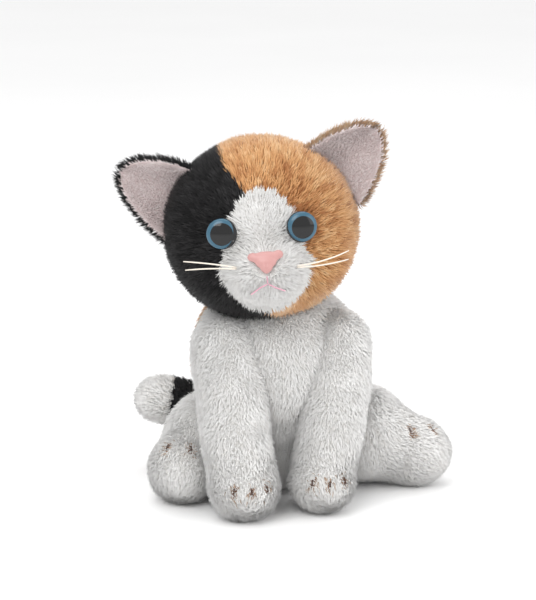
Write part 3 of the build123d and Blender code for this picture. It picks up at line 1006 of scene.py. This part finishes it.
def make_eye(side, pupil, ring):
    """One opaque glossy dome for the eye's lens, pupil and ring: black, with a blue rim."""
    low, high = (np.array(corner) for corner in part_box(f"eye_pupil_{side}"))
    centre = (low + high) / 2
    gaze = EYE_SPOTS[side] - centre
    gaze = gaze / np.linalg.norm(gaze)
    across = np.cross(gaze, [0, 0, 1.0])
    across = across / np.linalg.norm(across)
    up = np.cross(across, gaze)

    def circle(radius, height):
        """A ring of points round the gaze, in millimetres from it and up along it."""
        for index in range(EYE_SIDES):
            angle = index / EYE_SIDES * math.tau
            level = across * math.cos(angle) + up * math.sin(angle)
            yield centre + (level * radius + gaze * height) * MM

    points, faces, parts = [centre + gaze * EYE_DOME * MM], [], []
    for step in range(1, EYE_RINGS + 1):
        radius = EYE_RADIUS * step / EYE_RINGS
        height = EYE_DOME * math.sqrt(max(0.0, 1 - (radius / (EYE_RADIUS + 0.15)) ** 2))
        points += circle(radius, height)
    base = len(points)
    points += circle(EYE_RADIUS, -EYE_SKIRT)
    for index in range(EYE_SIDES):
        after = (index + 1) % EYE_SIDES
        faces.append((0, 1 + index, 1 + after))
        parts.append(0)
        for step in range(1, EYE_RINGS + 1):
            inner, outer = 1 + (step - 1) * EYE_SIDES, 1 + step * EYE_SIDES
            faces.append((inner + index, outer + index, outer + after, inner + after))
            parts.append(1 if EYE_RADIUS * (step + 0.5) / EYE_RINGS > EYE_PUPIL else 0)
    faces.append(tuple(base + index for index in range(EYE_SIDES)))
    parts.append(1)
    mesh = bpy.data.meshes.new(f"eye_dome_{side}")
    mesh.from_pydata([tuple(point) for point in points], [], faces)
    mesh.materials.append(pupil)
    mesh.materials.append(ring)
    mesh.polygons.foreach_set("material_index", parts)
    facing_out(mesh)
    dome = placed(f"eye_dome_{side}", mesh)
    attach(dome, "head")
    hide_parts(f"eye_lens_{side}", f"eye_pupil_{side}", f"eye_iris_{side}")


def make_eyes():
    """Moulded safety eyes: the domes, and the finish of their backs and washers."""
    ring = moulded_material("eye_ring", (0.028, 0.105, 0.165), 0.25, coat=0.2)
    pupil = moulded_material("eye_pupil", (0.004, 0.004, 0.0045), 0.08, relief=0.0)
    back = moulded_material("eye_back", (0.008, 0.008, 0.009), 0.4)
    washer = moulded_material("washer", (0.6, 0.6, 0.58), 0.5)
    for side in ("left", "right"):
        make_eye(side, pupil, ring)
        paint(f"eye_back_{side}", back)
        paint(f"eye_washer_{side}", washer)
    paint("nose_washer", washer)


# ---------------------------------------------------------------- ears

# Each ear's root and outward direction in the head's frame, its colour, and how far its tip leans.
EARS = {
    "left": ((30.6, 2, 19.4), (0.725, 0, 0.69), "orange", 0.5),
    "right": ((-33.0, 2, 14.0), (-0.91, 0, 0.415), "black", 4.0),
}
EAR_HALF_BASE = 14.8
EAR_REACH = 26.0


def ear_sheet(side, out, thick):
    """Points of an ear's sheet: a cupped round-tipped triangle, out in front by millimetres."""
    root, outward, _, lean = EARS[side]
    up = HEAD_AXES @ np.array(outward)
    up = up / np.linalg.norm(up)
    front = HEAD_AXES @ np.array([0, -1.0, 0])
    across = np.cross(up, front)
    u, v = np.meshgrid(np.linspace(-1, 1, 29), np.linspace(0, 1, 27))
    half = EAR_HALF_BASE * np.interp(
        v, [0, 0.25, 0.5, 0.7, 0.84, 0.93, 1], [1.0, 0.92, 0.79, 0.62, 0.46, 0.31, 0.12]
    )
    cup = (u**2 - 0.45) * 11.5 * (1 - 0.85 * v) + 2.0 * v**2
    rim = np.minimum(1, (1 - np.abs(u)) * half / 2.2) * np.minimum(1, (1 - v) * 8)
    place = cup + out + thick * np.sqrt(np.clip(rim, 0, 1))
    local = (
        across[None, None] * (u * half + lean * v)[..., None]
        + up[None, None] * (v * EAR_REACH - 2.0)[..., None]
        + front[None, None] * place[..., None]
    )
    return head_point(*root) + local * MM, front


def ear_shell(name, front_sheet, back_sheet):
    """A closed shell between two sheets of the same grid."""
    rows, columns, _ = front_sheet.shape
    points = np.concatenate([front_sheet.reshape(-1, 3), back_sheet.reshape(-1, 3)])
    offset = rows * columns
    faces = []
    for row in range(rows - 1):
        for column in range(columns - 1):
            a = row * columns + column
            b, c, d = a + 1, a + columns + 1, a + columns
            faces.append((a, d, c, b))
            faces.append((a + offset, b + offset, c + offset, d + offset))
    loop = list(range(columns))
    loop += [row * columns + columns - 1 for row in range(1, rows)]
    loop += [(rows - 1) * columns + column for column in range(columns - 2, -1, -1)]
    loop += [row * columns for row in range(rows - 2, 0, -1)]
    for here, after in zip(loop, loop[1:] + loop[:1]):
        faces.append((here, after, after + offset, here + offset))
    mesh = bpy.data.meshes.new(name)
    mesh.from_pydata([tuple(point) for point in points], [], faces)
    facing_out(mesh)
    return placed(name, mesh)


def make_ear(side):
    """An ear: a furry back and a smooth short-piled lining, cupped together."""
    root, outward, colour, _ = EARS[side]
    middle, front = ear_sheet(side, 0.0, 0.0)
    behind, _ = ear_sheet(side, -0.3, -2.2)
    ahead, _ = ear_sheet(side, 0.3, 1.0)
    body = f"ear_{side}"
    outward_way = unit((HEAD_AXES @ np.array(outward))[None])[0]
    centre = head_point(*root)

    def splayed(points):
        """Combed away from the root."""
        return (points - centre) + outward_way * (10 * MM)

    back = ear_shell(f"ear_{side}_back_skin", middle, behind)
    plush(f"ear_back_{side}", back, body, f"ear_back_{side}", f"plush_{colour}", colour,
          fill=0.3, comb=splayed, length=even_length(4.2), lean=0.8, per_mm2=3.6,
          bare=lambda p, n: (n @ front) > 0.05, seed=61 + (side == "left"))
    lining = ear_shell(f"ear_{side}_lining_skin", ahead, middle)
    plush(f"ear_lining_{side}", lining, body, f"ear_lining_{side}", "ear_lining", "lining",
          fill=0.3, comb=splayed, length=even_length(1.7), lean=1.3, per_mm2=5,
          width=0.34, tuft=1.5, bare=lambda p, n: (n @ front) < 0.1, seed=63 + (side == "left"))


def paint_insides():
    """The finishes of what is inside, and of the threads in the back seam."""
    wad = backing_material("wad", (0.62, 0.61, 0.58), (0.82, 0.81, 0.78))
    pouch = backing_material("pouch", (0.40, 0.38, 0.35), (0.60, 0.58, 0.54))
    grains = moulded_material("pellets", (0.75, 0.74, 0.70), 0.4)
    orange = thread_material("thread_back", (0.50, 0.24, 0.09))
    paint("seat_pellet_pouch", pouch)
    paint("seat_pellets", grains)
    paint("back_closing_stitches", orange)
    low, high = (np.array(corner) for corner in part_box("neck_stuffing"))
    neck = sewn("neck_wad", [lump((low + high) / 2, tuple((high - low) / 2 / MM * 0.97))])
    shade_smooth(neck.data)
    neck.data.materials.clear()
    neck.data.materials.append(wad)
    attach(neck, "neck")
    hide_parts("neck_stuffing")


# ---------------------------------------------------------------- torso


# White plush shows little of its strands.
SMOOTH_WHITE = {"clump": 0.2, "even": 4.0}


def downward(points):
    """Combed straight down."""
    return np.tile([0.0, 0.0, -1.0], (len(points), 1))


SOLE_HEIGHT = 5  # millimetres up to the sole's seam


def torso_panel(points):
    """0 bib, 1 saddle, 2 sole."""
    height = points[:, 2] / MM
    saddle = points[:, 1] / MM > -5 + (86 - height) * 0.19
    panel = np.where(saddle, 1, 0)
    return np.where(height < SOLE_HEIGHT, 2, panel)


def make_torso():
    """The chest and seat, with the bib, saddle and sole panels."""
    lumps = [
        lump(CHEST, (33.3, 31, 32.6)),
        lump(CHEST + mm(-1, 1, 7), (31.0, 26, 25.6)),
        lump(mm(13, -15, 64), (15, 15, 15)),
        lump(mm(-22, -14, 62), (15, 15, 15)),
        lump(mm(0, 0, 20), (29, 25, 21)),
        lump(mm(-1, -4, 36), (29, 26, 24)),
    ]
    skin = stuffed(sewn("torso", lumps), cap=1.0)
    sit(skin)
    names = ["torso_bib_skin", "torso_saddle_skin", "torso_sole_skin"]
    bib, saddle, sole = panels(skin, torso_panel, names)
    coat = {"comb": downward, "length": even_length(3.6), "lean": 1.1, **SMOOTH_WHITE}
    plush("torso_bib", bib, "torso", "torso_bib_panel", "plush_white", "white", seed=21,
          replaced=["torso_stuffing"], **coat)
    coat["length"] = even_length(1.2)
    plush("torso_sole", sole, "torso", "torso_base_panel", "plush_white", "white", seed=23,
          per_mm2=1.0, **coat)
    plush("torso_saddle", saddle, "torso", "torso_saddle_panel", "plush_orange", "orange", seed=22,
          comb=downward, length=even_length(4.0), lean=1.0)


# ---------------------------------------------------------------- legs and tail


def paw_comb(paw, ahead):
    """Down the leg, and forward over the paw."""

    def comb(points):
        near = ramp(-np.linalg.norm(points - paw, axis=1) / MM, -26, -10)[:, None]
        return np.array([[0, 0, -1.0]]) * (1.2 - near) + ahead[None] * near

    return comb


THREAD_BROWN = thread_material("thread_toes", (0.06, 0.025, 0.014))
TOE_PROUD = 0.7  # millimetres from the skin out to the thread's middle


def toe_threads(name, skin, centre, lift=0.0, swing=0.0, heading=-90.0):
    """The brown stitches that pinch a paw's toes, and where they are for its pile.

    lift and swing, in degrees, bring them up the paw and round it.
    """
    tree = BVHTree.FromPolygons(
        [vertex.co for vertex in skin.data.vertices],
        [tuple(face.vertices) for face in skin.data.polygons],
    )
    spin = turn(yaw=swing).to_3x3() @ turn(yaw=heading + 90).to_3x3()
    spin = spin @ turn(pitch=-lift).to_3x3() @ turn(yaw=-heading - 90).to_3x3()
    lines, parts = [], []
    for low, high in cad_stitches(f"{name}_toe_stitches"):
        path = []
        for share in (0.2, 0.5, 0.8):
            way = spin @ Vector(low + (high - low) * share - centre)
            hit = tree.ray_cast(Vector(centre), way.normalized())[0]
            path.append(np.array(hit) + np.array(way.normalized()) * TOE_PROUD * MM)
        lines.append((path[0], path[2]))
        parts += twisted(np.array(path), 0.34 * MM, 0.0015)
    threads = tubes(f"{name}_toe_threads", parts, THREAD_BROWN)
    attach(threads, name)
    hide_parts(f"{name}_toe_stitches")
    return Stitches(lines)


FRONT_LEGS = {
    "right": [(mm(-27, -20, 64), 13.5), (mm(-27.5, -30, 50), 13), (mm(-27.5, -38, 32), 12.6),
              (mm(-25.6, -44, 16), 12.3)],
    "left": [(mm(17.2, -23, 64), 13), (mm(15.5, -31, 50), 12.5), (mm(12, -36, 32), 12),
             (mm(8.2, -39, 16), 11.5)],
}
# The front paws' middles and radii; the turns that bring the hind feet's toe stitches up and
# round, in degrees; and the hind feet's middles, headings and half lengths.
FRONT_PAWS = {"right": mm(-25.6, -45.5, 12.6), "left": mm(7.0, -41.5, 12.2)}
PAW_RADII = {"right": (13.0, 14.4, 11.7), "left": (12.2, 14.0, 11.4)}
TOE_TURNS = {"right": (36, 0), "left": (40, -38)}
HIND_FEET = {"right": (mm(-44, -15, 13.6), -113, 17.0), "left": (mm(52, -11, 14.2), -38, 15.8)}


def make_front_leg(side):
    """A front leg: a tube with a round paw."""
    paw = FRONT_PAWS[side]
    lumps = limb(FRONT_LEGS[side]) + [lump(paw, PAW_RADII[side])]
    skin = stuffed(sewn(f"front_leg_{side}_bag", lumps), cap=0.8)
    sit(skin)
    shade_smooth(skin.data)
    plush(f"front_leg_{side}", skin, f"front_leg_{side}", f"front_leg_{side}_skin", "plush_white",
          "white", comb=paw_comb(paw, np.array([0, -1.0, -0.1])),
          length=even_length(3.2), lean=1.1, seed=31 + (side == "left"),
          **SMOOTH_WHITE,
          marks=toe_threads(f"front_leg_{side}", skin, paw, lift=-4),
          replaced=[f"front_leg_{side}_stuffing"])


def make_hind_leg(side):
    """A hind leg: a ball of a thigh and a stubby foot."""
    foot, heading, half_length = HIND_FEET[side]
    ahead = np.array([math.cos(math.radians(heading)), math.sin(math.radians(heading)), 0])
    lumps = [
        lump(HIP[side], (18.5, 18.5, 19)),
        lump(foot, (half_length, 13.4, 13.4), turn(yaw=heading)),
        lump((foot + HIP[side]) / 2, (15, 15, 15)),
    ]
    skin = stuffed(sewn(f"hind_leg_{side}_bag", lumps), cap=0.8)
    sit(skin)
    shade_smooth(skin.data)
    plush(f"hind_leg_{side}", skin, f"hind_leg_{side}", f"hind_leg_{side}_skin", "plush_white",
          "white", comb=paw_comb(foot, ahead), length=even_length(3.2), lean=1.1,
          **SMOOTH_WHITE,
          seed=41 + (side == "left"), replaced=[f"hind_leg_{side}_stuffing"],
          marks=toe_threads(f"hind_leg_{side}", skin, foot, *TOE_TURNS[side], heading))


TAIL_BEARING = Matrix.Rotation(math.radians(171), 3, "Z")
TAIL_RISE = Matrix.Rotation(math.radians(-11), 3, "Y")
TAIL_WAY = np.array(TAIL_BEARING @ TAIL_RISE @ Vector((1, 0, 0)))
TAIL_BAND = (16, 29.5)  # where the black band starts and ends, in millimetres along the tail


def make_tail():
    """The tail: orange root, black band, white tip."""
    stations = [(0.0, 7.4), (0.016, 7.6), (0.031, 8.6), (0.036, 8.0)]
    lumps = limb([(TAIL_ROOT + TAIL_WAY * along, radius) for along, radius in stations])
    skin = stuffed(sewn("tail", lumps, voxel=1.3), cap=0.6)

    def tail_panel(points):
        along = (points - TAIL_ROOT) @ TAIL_WAY / MM
        return np.where(along < TAIL_BAND[0], 0, np.where(along < TAIL_BAND[1], 1, 2))

    names = ["tail_root_piece", "tail_band_piece", "tail_tip_piece"]
    root, band, tip = panels(skin, tail_panel, names)
    coat = {
        "comb": lambda p: np.tile(TAIL_WAY, (len(p), 1)),
        "length": even_length(3.6),
        "lean": 0.8,
    }
    plush("tail_root", root, "tail", "tail_root_skin", "plush_orange", "orange", seed=51,
          replaced=["tail_stuffing"], **coat)
    plush("tail_band", band, "tail", "tail_band_skin", "plush_black", "black", seed=52, **coat)
    plush("tail_tip", tip, "tail", "tail_tip_skin", "plush_white", "white", seed=53, **coat)


make_head()
make_nose()
make_mouth()
make_eyes()
make_torso()
paint_insides()
for ear_side in ("left", "right"):
    make_ear(ear_side)
    make_whiskers(ear_side)
for leg_side in ("left", "right"):
    make_front_leg(leg_side)
    make_hind_leg(leg_side)
make_tail()
